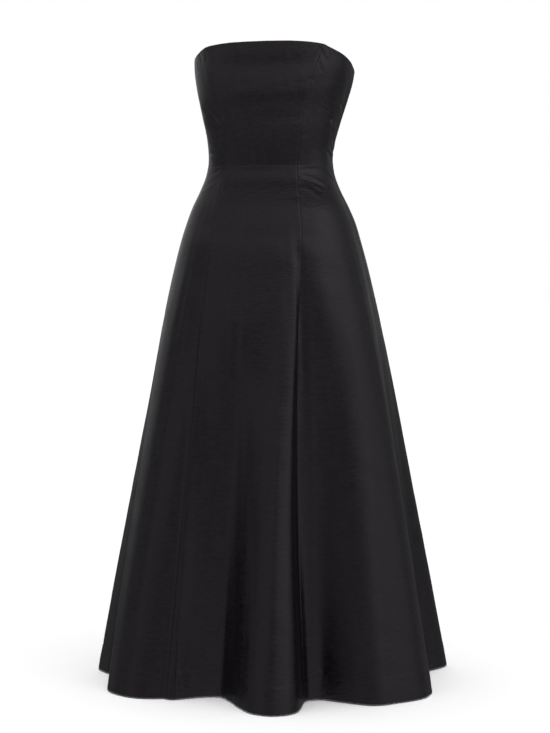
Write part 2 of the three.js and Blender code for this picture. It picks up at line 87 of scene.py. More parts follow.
# One row for each line down the skirt's folds: its angle at the hip, the knee and the hem, how far it
# lies from the skirt's axis at the hem, and the height it starts from.
FOLD_COLUMNS = ("hip", "knee", "hem", "hem_radius", "starts")
FOLD_LINES = [
    (-178, -178, -178, 258, -210),  # back centre valley
    (-160, -160, -160, 330, -210),  # right back crest
    (-140, -141, -141, 262, -200),  # right back valley
    (-131, -130, -130, 318, -200),  # right hind flank
    (-119, -119, -119, 354, -190),  # right hind crest
    (-102, -103, -103, 290, -190),  # right hind valley
    (-91, -88, -84, 361, -190),  # right side crest
    (-84, -81, -77.3, 338, -190),  # right side flank
    (-77, -73, -67, 284, -220),  # right side valley
    (-69, -64.5, -56.5, 334, -230),  # right front flank
    (-61, -57, -49.5, 344, -200),  # right front crest
    (-50, -46, -39, 326, -240),  # right front shoulder
    (-41, -36, -30, 291, -250),  # right front slope
    (-37, -31, -26, 278, -250),  # right seam edge
    (-33, -27, -22, 242, -280),  # right seam foot
    (-14, -14, -13, 220, -330),  # front valley
    (5, 1, -3, 233, -330),  # front wall foot
    (13, 8, 4.5, 275, -320),  # front wall
    (19, 14, 10, 311, -300),  # front wall top
    (27, 21, 18.5, 327, -230),  # front crest
    (34, 27, 26, 305, -150),  # front crest edge
    (38.5, 31.8, 32.5, 232, -80),  # left seam valley
    (43, 41.5, 41, 233, -150),  # left seam flat
    (53, 51, 48.5, 268, -230),  # left front wall
    (60, 57, 54, 306, -230),  # left wall top
    (64, 64, 64, 333, -230),  # left front shoulder
    (72, 73.5, 76, 349, -190),  # left front crest
    (80, 81.5, 84, 341, -170),  # left front edge
    (93, 95.5, 98, 276, -150),  # left side valley
    (105, 109, 113, 324, -160),  # left hind flank
    (116, 119, 122.5, 379, -160),  # left hind crest
    (132, 133, 134, 338, -190),  # left hind edge
    (145, 146, 147, 264, -200),  # left back valley
    (163, 163, 163, 324, -210),  # left back crest
]


def table(columns, rows):
    return {name: np.array(values, float) for name, values in zip(columns, zip(*rows))}


class Curve:
    """A smooth curve through points, level beyond its ends."""

    def __init__(self, at, values):
        order = np.argsort(at)
        self.at, self.values = np.asarray(at, float)[order], np.asarray(values, float)[order]
        slopes = np.diff(self.values) / np.diff(self.at)
        self.tangents = np.concatenate([slopes[:1], (slopes[1:] + slopes[:-1]) / 2, slopes[-1:]])

    def __call__(self, where):
        where = np.clip(where, self.at[0], self.at[-1])
        i = np.clip(np.searchsorted(self.at, where, side="right") - 1, 0, len(self.at) - 2)
        span = self.at[i + 1] - self.at[i]
        t = (where - self.at[i]) / span
        rise, settle = t * t * (3 - 2 * t), t * (1 - t) ** 2
        return (
            self.values[i] * (1 - rise) + self.values[i + 1] * rise
            + span * (settle * self.tangents[i] - t * t * (1 - t) * self.tangents[i + 1])
        )


sections = table(SECTION_COLUMNS, SECTIONS)
section = {name: Curve(sections["height"], sections[name]) for name in SECTION_COLUMNS[1:]}
seams = table(SEAM_COLUMNS, SEAMS)
seam = {name: Curve(seams["height"], seams[name]) for name in SEAM_COLUMNS[1:]}
top_edge_curve = Curve(*zip(*TOP_EDGE))
folds = table(FOLD_COLUMNS, FOLD_LINES)


def top_edge(degrees):
    return top_edge_curve(np.abs(degrees))


def plain_radius(degrees, height):
    angle = np.radians(degrees)
    depth = np.where(np.cos(angle) > 0, section["front"](height), section["back"](height))
    power = section["power"](height)
    across = np.abs(np.sin(angle)) / section["half_width"](height)
    return (across**power + (np.abs(np.cos(angle)) / depth) ** power) ** (-1 / power)


FOLD_REACH = folds["hem_radius"] - plain_radius(folds["hem"], HEM)
FOLD_ANGLES = [Curve((HEM, KNEE, HIP), row[2::-1]) for row in FOLD_LINES]


def fold_curve(height):
    share = np.maximum(0, (folds["starts"] - height) / (folds["starts"] - HEM))
    growth = share * share * (1 + FOLD_SOFT_START) / (share + FOLD_SOFT_START)
    angle = np.array([float(curve(min(height, HIP))) for curve in FOLD_ANGLES])
    offset = FOLD_REACH * growth
    return Curve(
        np.concatenate([angle[-3:] - 360, angle, angle[:3] + 360]),
        np.concatenate([offset[-3:], offset, offset[:3]]),
    )


def surface(degrees, height):
    """Points of the dress's outer surface. Below the waist, height is one number."""
    radius = plain_radius(degrees, height)
    if np.ndim(height) == 0 and height < 0:
        radius = radius + fold_curve(height)(degrees)
    angle = np.radians(degrees)
    return np.stack(
        [
            radius * np.sin(angle),
            section["set_back"](height) - radius * np.cos(angle),
            np.broadcast_to(height, np.shape(degrees)).astype(float),
        ],
        -1,
    )


# The seven panels all round, each from one seam to the next.
PANELS = [
    ("front", "front_r", "front_l"),
    ("side_front_left", "front_l", "side_l"),
    ("side_back_left", "side_l", "back_l"),
    ("back_left", "back_l", "centre_l"),
    ("back_right", "centre_r", "back_r"),
    ("side_back_right", "back_r", "side_r"),
    ("side_front_right", "side_r", "front_r"),
]
seam["centre_l"] = lambda height: 180.0 + 0 * height
seam["centre_r"] = lambda height: -180.0 + 0 * height

ROW_SAMPLES = 700
EDGE_STEPS = (0.0, 0.5, 1.1, 1.9, 3.0, 4.6)  # mm in from a seam, where the cloth rolls into it


def row_across(start, end, height_at, columns):
    """One row of a panel: even steps along the cloth, closer together beside the two seams."""
    first, last = seam[start](height_at(0.0) * 0), seam[end](height_at(0.0) * 0)
    for _ in range(6):
        first = seam[start](height_at(first))
        last = seam[end](height_at(last))
    degrees = np.linspace(float(first), float(last), ROW_SAMPLES)
    heights = height_at(degrees)
    points = surface(degrees, heights)
    along = np.concatenate([[0], np.cumsum(np.linalg.norm(np.diff(points, axis=0), axis=1))])
    length = along[-1] - SEAM_GAP
    edge = np.array(EDGE_STEPS)
    middle = np.linspace(edge[-1], length - edge[-1], columns - 2 * len(edge) + 2)[1:-1]
    wanted = np.concatenate([edge, middle, length - edge[::-1]])
    at = wanted + SEAM_GAP / 2
    placed = np.stack([np.interp(at, along, points[:, i]) for i in range(3)], -1)
    return placed, wanted, length, np.interp(at, along, degrees)


def panel_grid(start, end, heights, columns):
    """A whole panel as a grid, with each place's distance from its two seams, angle and height."""
    rows = [row_across(start, end, height_at, columns) for height_at in heights]
    points = np.array([row[0] for row in rows])
    from_start = np.array([row[1] for row in rows])
    from_end = np.array([row[2] for row in rows])[:, None] - from_start
    degrees = np.array([row[3] for row in rows])
    return points, from_start, from_end, degrees


def outward(points):
    """The surface's normals at the places of a grid whose rows run down and columns run round."""
    down = np.gradient(points, axis=0)
    around = np.gradient(points, axis=1)
    normal = np.cross(down, around)
    return normal / np.linalg.norm(normal, axis=-1, keepdims=True)


# Creases, placed on the cloth. Each runs from one place to another, in degrees and height. Then
# come how far its bump reaches, how far it stands out, and 0 for one bump, or a sign for a ridge with a
# hollow beside it, on the side that the sign says.
CREASES = [
    # drag lines that fan out below the waist, on the wearer's left
    (47.8, -6, 88, -14, 2.6, 0.55, 1),
    (47.4, -22, 73, -45, 3.2, 0.75, 1),
    (72, -10, 90, -34, 3.2, 0.9, 1),
    (80, -6, 97, -26, 2.4, 0.6, 1),
    (50, -36, 64, -62, 4.5, 0.4, -1),
    # above the waist on the same side
    (77, 34, 92, 16, 3.0, 0.8, 1),
    (84, 55, 101, 12, 3.6, 0.8, -1),
    (70, 92, 86, 62, 4.5, 0.7, 1),
    (86, 98, 98, 70, 3.4, 0.6, 1),
    (78, 120, 93, 104, 4.2, 0.45, -1),
    (60, 60, 66, 24, 5.0, 0.3, 1),
    # the soft patch beside the left front seam, under the top edge
    (52, 236, 58, 196, 4.0, 0.8, 1),
    (57, 238, 62, 204, 3.2, 0.6, -1),
    (51, 210, 55, 178, 3.6, 0.6, 1),
    (62, 226, 70, 190, 4.8, 0.5, 1),
    # the notch across the left front seam, and the line under it
    (42.6, 163.6, 48.6, 164.3, 1.2, -0.7, 0),
    (45.6, 160, 45.6, 98, 1.6, 0.5, 1),
    # the crease that runs in from the wearer's right
    (-57, 121, -41, 74, 3.4, 0.8, 1),
    (-60, 96, -47, 66, 3.4, 0.4, -1),
    # wrinkles under the right top corner
    (-63, 229, -55, 200, 2.6, 0.8, 1),
    (-58, 232, -52, 206, 2.2, 0.7, -1),
    (-53, 234, -49, 214, 2.0, 0.5, 1),
    (-70, 212, -63, 184, 3.0, 0.6, 1),
    (-76, 70, -62, 40, 3.4, 0.5, 1),
    (-70, 26, -50, 8, 3.0, 0.45, -1),
    (-46, -8, -66, -20, 3.0, 0.45, 1),
    (-50, -26, -74, -52, 3.6, 0.5, 1),
    # the same kind of creases on the hidden sides
    (-78, -8, -104, -22, 3.0, 0.7, 1),
    (-92, -24, -118, -46, 3.6, 0.6, -1),
    (-99, 40, -86, 14, 3.2, 0.7, 1),
    (-116, 62, -99, 30, 3.6, 0.6, -1),
    (-120, 120, -104, 92, 4.0, 0.5, 1),
    (-131, 160, -121, 128, 3.0, 0.5, 1),
    (102, 150, 112, 112, 3.6, 0.6, 1),
    (112, 60, 97, 24, 3.6, 0.7, -1),
    (128, 78, 118, 40, 3.2, 0.5, 1),
    (98, -10, 124, -26, 3.0, 0.7, 1),
    (112, -28, 136, -50, 3.6, 0.55, -1),
    (176, 30, 150, 18, 3.0, 0.6, 1),
    (-177, 44, -152, 30, 3.2, 0.6, -1),
    (178, -12, 152, -34, 3.4, 0.7, 1),
    (-178, -22, -156, -48, 3.6, 0.6, 1),
    (177, 120, 162, 108, 3.0, 0.4, -1),
    (-178, 92, -160, 78, 3.2, 0.45, 1),
    (142, -6, 166, -12, 2.4, 0.4, 1),
    (-140, -8, -160, -15, 2.4, 0.4, -1),
]


def crease_rise(degrees, height):
    """How far the creases move the cloth out, in mm."""
    total = np.zeros_like(height)
    for row in CREASES:
        from_deg, from_h, to_deg, to_h, width, rise, pair = row
        middle = (from_h + to_h) / 2
        per_degree = math.radians(1) * float(plain_radius(np.array((from_deg + to_deg) / 2), middle))
        across, up = (degrees - from_deg) * per_degree, height - from_h
        run = np.array([(to_deg - from_deg) * per_degree, to_h - from_h])
        length = np.hypot(*run)
        run = run / length
        t = (across * run[0] + up * run[1]) / length
        bend = 0.06 * length * np.sin(np.pi * np.clip(t, 0, 1))
        off = (-across * run[1] + up * run[0] - bend) / width
        fade = np.clip(np.minimum(t, 1 - t) / 0.3, 0, 1)
        near = (t > -0.02) & (t < 1.02) & (np.abs(off) < 4)
        shape = np.exp(-off * off / 2) if pair == 0 else pair * off * np.exp((1 - off * off) / 2)
        total += np.where(near, rise * shape * fade * fade * (3 - 2 * fade), 0)
    return total


def step_down(distance, softness):
    """One before a place and nothing after it, over a soft edge."""
    return 1 / (1 + np.exp(np.clip(distance / softness, -40, 40)))


def wander(along, seed, waves):
    """A smooth uneven run of ups and downs, made of a few waves of the given lengths in mm."""
    random = np.random.default_rng(seed)
    total = np.zeros_like(along)
    for length in waves:
        strength, phase = random.uniform(0.5, 1), random.uniform(0, 2 * math.pi)
        bent = along + 0.35 * length * np.sin(along * 2 * math.pi / (length * 3.7) + phase * 2)
        total += strength * np.sin(bent * 2 * math.pi / length + phase)
    return total / len(waves)


SEAM_DIP = 0.85  # mm, where the cloth rolls into a seam
SEAM_DIP_WIDTH = 1.2
BODICE_DIP_SHARE = 0.85  # of the skirt's dip
WAIST_DIP = 0.3
PUCKER = {"bodice": 0.16, "skirt": 0.26}
PUCKER_REACH = {"bodice": 7.0, "skirt": 15.0}
PUCKER_WAVES = (13, 21, 34)
ALLOWANCE = 11.0  # mm, the pressed seam allowance that shows faintly from outside
ALLOWANCE_RISE = 0.3
# The princess seams stand out a little, and fall away quickly on the side panels and slowly on the front:
# the panel's number, its first or second edge, and how far the fall reaches in mm.
SEAM_RIDGE = 2.2
SEAM_RIDGE_FADE = 160.0  # mm under the waist
SEAM_RIDGES = [(0, 0, 38), (0, 1, 38), (1, 0, 13), (6, 1, 13)]
TURN_UP = 50.0  # mm, the depth of the turned-up hem
BLIND_STITCH_PITCH = 13.0
TURN_UP_STEP = 0.22
STITCH_DIMPLE = 1.2
RIPPLE_RISE = 0.62
DRAWN_RISE = 0.5  # over the turn-up, where its stitches draw the cloth
PLAIN_HEM_STRENGTH = 0.22  # of all three, away from the places below

# Places at the hem where the turned-up cloth is caught tight and ripples: the middle in degrees, how
# far round it reaches, and how strong it is.
HEM_RIPPLES = [
    (-27, 5, 1.5), (-8, 6, 0.6), (44, 6, 1.1), (14, 5, 0.35), (84, 7, 0.7), (-58, 6, 0.5),
    (-84, 6, 0.6), (-118, 8, 0.6), (-152, 7, 0.7), (126, 8, 0.8), (166, 7, 0.6), (146, 5, 0.5),
]


def hem_rise(degrees, height, along):
    """The step of the turned-up hem, its blind stitches and the ripples under them, in mm."""
    up = height - HEM
    under = step_down(up - TURN_UP, 1.3)
    strength = np.full_like(degrees, PLAIN_HEM_STRENGTH)
    for middle, reach, strong in HEM_RIPPLES:
        strength = strength + strong * np.exp(-(((degrees - middle) / reach) ** 2))
    line = np.exp(-(((up - TURN_UP) / 2.2) ** 2))
    stitch = wander(along, 5, (BLIND_STITCH_PITCH, BLIND_STITCH_PITCH * 1.9))
    dimples = -STITCH_DIMPLE * line * strength * np.maximum(0, stitch)
    fall = np.clip(up / TURN_UP, 0, 1)
    swell = 2.2 * fall * (1.25 - fall)
    ripple = RIPPLE_RISE * strength * wander(along + 0.25 * up, 9, (9, 15, 26)) * swell
    above = np.exp(-np.clip(up - TURN_UP, 0, None) / 12) * (up > TURN_UP)
    drawn = DRAWN_RISE * strength * wander(along - 0.2 * up, 11, (12, 19)) * above
    return TURN_UP_STEP * under + dimples + np.where(up < TURN_UP, ripple, 0) + drawn


# Long soft folds of the skirt's cloth, each with its angle at the hip, the knee and the hem, the height
# it starts from, its width, and how far it stands out at the knee and the hem. Hollows are negative.
LONG_FOLDS = [
    (48, 47, 43, -280, 21, -8.0, -12.0),  # hollow on the wearer's left, between the front and its wall
    (39, 35.2, 31.5, -300, 10, 2.6, 3.5),  # edge of the cloth just past the left front seam
    (64, 61, 56.5, -280, 19, 3.0, 4.0),
    (-9, -9, -12, -300, 22, -8.0, -12.0),  # hollow between the right front seam and the front crest
    (-32, -28, -22.5, -260, 10, 2.6, 3.0),  # edge of the cloth just past the right front seam
    (28, 20.5, 17.5, -120, 9, 3.6, 1.5),  # crest beside the left front seam
    (-37, -33, -30, -330, 8, -4.0, -7.0),  # hollow that runs out from the right front seam
    (-50, -44, -38, -260, 18, 2.0, 3.0),
    (-72, -70, -64, -300, 20, -2.5, -4.0),
    (78, 76, 74, -260, 18, 2.0, 3.0),
    (104, 108, 112, -300, 20, -3.0, -5.0),
    (128, 130, 131, -280, 16, 2.5, 4.0),
    (158, 157, 156, -260, 18, -3.5, -5.5),
    (172, 171, 170, -240, 14, 2.0, 3.0),
    (-168, -168, -169, -300, 16, -3.0, -4.5),
    (-148, -150, -151, -260, 18, 2.6, 4.0),
    (-125, -124, -124, -300, 14, -3.0, -5.0),
    (-97, -96, -94, -280, 16, 2.4, 3.5),
]


def long_fold_rise(degrees, height):
    """How far the long folds move the skirt's cloth out, in mm."""
    total = np.zeros_like(height)
    radius = plain_radius(degrees, height)
    for hip, knee, hem, starts, width, knee_out, hem_out in LONG_FOLDS:
        middle = Curve((HEM, KNEE, HIP), (hem, knee, hip))(height)
        rise = Curve((HEM, KNEE, starts), (hem_out, knee_out, 0.0))(height)
        off = np.radians(degrees - middle) * radius / width
        total = total + np.where(height < starts, rise, 0) * np.exp(-np.clip(off * off / 2, 0, 40))
    return total


def both_faces_rise(kind, index, from_start, from_end, degrees, height):
    """How far both faces of the cloth stand out of its plain surface, in mm."""
    total = long_fold_rise(degrees, height) if kind == "skirt" else np.zeros_like(height)
    for panel, edge, reach in SEAM_RIDGES:
        if panel == index:
            stands = SEAM_RIDGE * np.exp(-np.clip(-height, 0, None) / SEAM_RIDGE_FADE)
            total = total + stands * np.exp(-(from_start, from_end)[edge] / reach)
    return total


def soft_waves(kind, degrees, height):
    """The slow unevenness of the cloth between its folds, in mm."""
    if kind == "skirt":
        grown = np.clip(-height / 260, 0, 1)
        return grown * (
            0.75 * wander(degrees * 4.2 + 0.035 * height, 21, (47, 83))
            * (0.6 + 0.4 * wander(height + degrees, 22, (310, 470)))
            + 0.3 * wander(height * 1.0 + degrees * 2.1, 23, (96, 171))
        )
    return (
        0.22 * wander(degrees * 2.4 + 0.3 * height, 31, (37, 61))
        + 0.18 * wander(height - 0.5 * degrees, 32, (43, 73))
    )


def detail(kind, index, from_start, from_end, degrees, height):
    """All that stands out of or sinks into a panel's plain surface, in mm."""
    total = crease_rise(degrees, height) + soft_waves(kind, degrees, height)
    if kind == "skirt":
        total = total + hem_rise(degrees, height, from_start)
    deep = SEAM_DIP * (1.0 if kind == "skirt" else BODICE_DIP_SHARE)
    for side, distance in enumerate((from_start, from_end)):
        total = total - deep * np.exp(-((distance / SEAM_DIP_WIDTH) ** 2))
        edge = step_down(distance - ALLOWANCE, 1.6)
        total = total + ALLOWANCE_RISE * edge
        pull = wander(height, 100 + 2 * index + side, PUCKER_WAVES)
        total = total + PUCKER[kind] * pull * np.exp(-distance / PUCKER_REACH[kind])
    waist = np.exp(-((height / 1.4) ** 2)) * (1 + 0.7 * wander(degrees * 2.2, 43, (14, 23)))
    gathered = wander(degrees * 2.2, 41, (11, 19)) * np.exp(-np.abs(height) / 9) * 0.14
    return total - WAIST_DIP * waist + gathered


THICKNESS = {"bodice": 2.2, "skirt": 1.7}
INNER_SHARE = 0.6  # how much of the outer face's relief the inner face has, up to a limit in mm
INNER_LIMIT = 0.6
TURN_UP_LAYER = 0.55
ALLOWANCE_LAYER = 0.4
COLUMN_STEP = {"bodice": 2.7, "skirt": 4.3}
ROLL_STEPS = 3  # between the outer and the inner face along the top edge and the hem


def new_object(name, data):
    """A new object in the scene, at the origin."""
    made = bpy.data.objects.new(name, data)
    bpy.context.scene.collection.objects.link(made)
    return made


def spread(points):
    """Distances along a grid's rows and columns."""
    around = np.linalg.norm(np.diff(points, axis=1), axis=-1)
    down = np.linalg.norm(np.diff(points, axis=0), axis=-1)
    across = np.concatenate([np.zeros((len(points), 1)), np.cumsum(around, axis=1)], axis=1)
    along = np.concatenate([np.zeros((1, points.shape[1])), np.cumsum(down, axis=0)], axis=0)
    return across, along


def rolled(outer, inner, away):
    """Rings between the two faces' edges, so that a folded edge is round."""
    middle, half = (outer + inner) / 2, (outer - inner) / 2
    size = np.linalg.norm(half, axis=-1, keepdims=True)
    rings = []
    for step in range(1, ROLL_STEPS + 1):
        turn = math.pi * step / (ROLL_STEPS + 1)
        rings.append(middle + half * math.cos(turn) + away * size * math.sin(turn) * 0.8)
    return rings


def shell(name, outer, inner, uv, roll_top, roll_foot):
    """A closed sheet of cloth from its two faces' grids, as an object at the origin."""
    rows, columns = outer.shape[:2]
    count = rows * columns
    vertices = [outer.reshape(-1, 3), inner.reshape(-1, 3)]
    index = np.arange(count).reshape(rows, columns)
    front, back = index, index + count
    chains = {}
    total = 2 * count
    for key, row, away, wanted in (
        ("top", 0, np.array([0, 0, 1.0]), roll_top),
        ("foot", rows - 1, np.array([0, 0, -1.0]), roll_foot),
    ):
        chain = [front[row]]
        if wanted:
            for ring in rolled(outer[row], inner[row], away):
                vertices.append(ring)
                chain.append(np.arange(total, total + columns))
                total += columns
        chain.append(back[row])
        chains[key] = chain

    def quads(a, b, c, d):
        return np.stack([a, b, c, d], -1).reshape(-1, 4)

    faces = [
        quads(front[:-1, :-1], front[1:, :-1], front[1:, 1:], front[:-1, 1:]),
        quads(back[:-1, :-1], back[:-1, 1:], back[1:, 1:], back[1:, :-1]),
        quads(front[:-1, 0], back[:-1, 0], back[1:, 0], front[1:, 0]),
        quads(front[:-1, -1], front[1:, -1], back[1:, -1], back[:-1, -1]),
    ]
    for chain, flip in ((chains["top"], False), (chains["foot"], True)):
        for near, far in zip(chain[:-1], chain[1:]):
            strip = quads(near[:-1], near[1:], far[1:], far[:-1])
            faces.append(strip[:, ::-1] if flip else strip)
    polygons = [list(map(int, face)) for face in np.concatenate(faces)]
    for key, chain in chains.items():
        if len(chain) > 2:
            left = [int(ring[0]) for ring in chain]
            right = [int(ring[-1]) for ring in chain]
            polygons.append(left if key == "top" else left[::-1])
            polygons.append(right[::-1] if key == "top" else right)

    mesh = bpy.data.meshes.new(name)
    mesh.from_pydata((np.concatenate(vertices) * MM).tolist(), [], polygons)
    flat_uv = np.concatenate([uv.reshape(-1, 2)] * 2)
    for chain in chains.values():
        for ring in chain[1:-1]:
            flat_uv = np.concatenate([flat_uv, flat_uv[chain[0]]])
    corner = np.zeros(len(mesh.loops), np.int32)
    mesh.loops.foreach_get("vertex_index", corner)
    layer = mesh.uv_layers.new(name="cut")
    layer.data.foreach_set("uv", (flat_uv[corner] * MM).astype(np.float32).ravel())
    mesh.shade_smooth()
    mesh.set_sharp_from_angle(angle=math.radians(62))
    mesh.update()
    return new_object(name, mesh)


def bodice_heights():
    length = float(top_edge(0.0))
    steps = np.concatenate([
        [0, 0.5, 1.2, 2.2, 3.6], np.arange(5.6, length - 5, 2.6), [3.4, 2.1, 1.2, 0.5, 0],
    ])
    steps[-5:] = length - steps[-5:]
    base = SEAM_GAP / 2
    return [
        (lambda share: lambda degrees: base + share * (top_edge(degrees) - base))(1 - step / length)
        for step in steps
    ]


def skirt_heights():
    down = np.concatenate([
        [0, 0.5, 1.2, 2.1, 3.4], np.arange(5.6, 120, 3.4), np.arange(121, -HEM - TURN_UP - 8, 5.6),
        -HEM - TURN_UP + np.arange(-7, 6, 1.6), np.arange(-HEM - TURN_UP + 8, -HEM - 3, 4.2), [-HEM - 1.2],
    ])
    down[0] = SEAM_GAP / 2
    return [(lambda height: lambda degrees: height)(-step) for step in np.append(down, -HEM)]


def cloth_panel(kind, index, name, start, end, heights, columns):
    points, from_start, from_end, degrees = panel_grid(start, end, heights, columns)
    height = points[..., 2]
    turn = np.radians(degrees)
    level = np.stack([np.sin(turn), -np.cos(turn), np.zeros_like(turn)], -1)
    moved = both_faces_rise(kind, index, from_start, from_end, degrees, height)
    points = points + level * moved[..., None]
    normal = outward(points)
    rise = detail(kind, index, from_start, from_end, degrees, height)
    outer = points + normal * rise[..., None]
    inward = np.clip(rise, -INNER_LIMIT, INNER_LIMIT)[..., None] * INNER_SHARE - THICKNESS[kind]
    inner = points + normal * inward
    across_start = points[:, 0] - points[:, 1]
    across_start /= np.linalg.norm(across_start, axis=-1, keepdims=True)
    inner[:, 0] = inner[:, 0] + across_start * SEAM_TUCK
    if kind == "skirt":
        turned = step_down(height - HEM - TURN_UP, 0.7)
        pressed = sum(step_down(d - ALLOWANCE, 0.8) for d in (from_start, from_end))
        layers = TURN_UP_LAYER * turned + ALLOWANCE_LAYER * np.clip(pressed, 0, 1)
        inner = inner - normal * layers[..., None]
        inner[..., 2] = np.maximum(inner[..., 2], HEM)
    across, along = spread(outer)
    uv = np.stack([across - across[:, -1:] / 2, -along], -1)
    made = shell(f"{kind}_{name}_satin", outer, inner, uv, kind == "bodice", kind == "skirt")
    cell = np.linalg.norm(
        np.cross(outer[1:, :-1] - outer[:-1, :-1], outer[:-1, 1:] - outer[:-1, :-1]), axis=-1
    )
    area = float(cell.sum()) * MM * MM
    width = float(across[:, -1].max()) * MM
    length = float(along[-1].max()) * MM
    return made, area, width, length


sheets = []
for index, (name, start, end) in enumerate(PANELS):
    for kind, heights in (("bodice", bodice_heights()), ("skirt", skirt_heights())):
        widest = row_across(start, end, heights[-1] if kind == "skirt" else heights[0], 60)[2]
        columns = max(24, int(widest / COLUMN_STEP[kind]) + 2 * len(EDGE_STEPS))
        made, area, width, length = cloth_panel(kind, index, name, start, end, heights, columns)
        node = f"{kind}_{name}"
        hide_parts(node)
        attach(made, "dress")
        sheets.append((made, kind, name, area, width, length))


def socket(tree, kind, name, default=None, in_out="INPUT"):
    made = tree.interface.new_socket(name=name, in_out=in_out, socket_type=f"NodeSocket{kind}")
    if default is not None:
        made.default_value = default
    return made


def plain_object(name, vertices, faces, edges=()):
    mesh = bpy.data.meshes.new(name)
    mesh.from_pydata([tuple(v) for v in vertices], list(edges), faces)
    mesh.update()
    return new_object(name, mesh)


# The zip behind the centre back seam: a woven tape, its closed teeth, and the stitches that hold it.
ZIP_FOOT = -210.0
TAPE_HALF = 13.0
TAPE_DEPTH = 2.9  # how far it lies under the bodice's outer face
TAPE_THICK = 0.8
TAPE_BACK = TAPE_DEPTH + TAPE_THICK
BESIDE = 0.4  # degrees from the centre back, to find the cloth's direction there
STITCH_ROWS = (-8.5, -4.4, 4.4, 8.5)  # mm aside from the centre back


def centre_back(height, aside=0.0, depth=0.0):
    """A place beside the centre back, moved in from the cloth's outer face."""
    degrees = 180.0 + np.array([-BESIDE, 0.0, BESIDE])
    points = surface(degrees, height if height < 0 else np.full(3, height))
    lower = surface(degrees, height - 1.0 if height < 0 else np.full(3, height - 1.0))
    normal = np.cross(lower[1] - points[1], points[2] - points[0])
    normal /= np.linalg.norm(normal)
    step = (points[2] - points[0]) / np.linalg.norm(points[2] - points[0])
    return points[1] + step * aside - normal * depth, normal


def zip_heights():
    top = float(top_edge(180.0)) - 1.0
    return np.concatenate([
        np.arange(top, 4.0, -3.0), [2.0, -2.0], np.arange(-5.0, ZIP_FOOT, -3.0), [ZIP_FOOT],
    ])


def tape_sheet():
    asides = np.linspace(-TAPE_HALF, TAPE_HALF, 27)
    heights = zip_heights()
    outer = np.zeros((len(heights), len(asides), 3))
    inner = np.zeros_like(outer)
    for r, height in enumerate(heights):
        for c, aside in enumerate(asides):
            sag = 0.10 * math.sin(height * 0.23 + aside * 0.4) * (abs(aside) / TAPE_HALF) ** 2
            fold = 0.35 * math.exp(-((aside / 1.6) ** 2))
            outer[r, c], _ = centre_back(height, aside, TAPE_DEPTH + 0.1 + sag + fold)
            inner[r, c], _ = centre_back(height, aside, TAPE_DEPTH + 0.1 + sag + fold + TAPE_THICK)
    across, along = spread(outer)
    uv = np.stack([across - across[:, -1:] / 2, -along], -1)
    made = shell("zip_tape_woven", outer, inner, uv, True, True)
    return made, float(across[:, -1].max()) * MM, float(along[-1].max()) * MM


def along_path(name, places, outward_normals):
    """A path with its outward direction kept, for the pieces that repeat along it."""
    edges = [(i, i + 1) for i in range(len(places) - 1)]
    made = plain_object(name, np.array(places) * MM, [], edges)
    attribute = made.data.attributes.new("out", "FLOAT_VECTOR", "POINT")
    attribute.data.foreach_set("vector", np.array(outward_normals, np.float32).ravel())
    return made


def new_node(tree, kind, **settings):
    made = tree.nodes.new(kind)
    for key, value in settings.items():
        setattr(made, key, value)
    return made


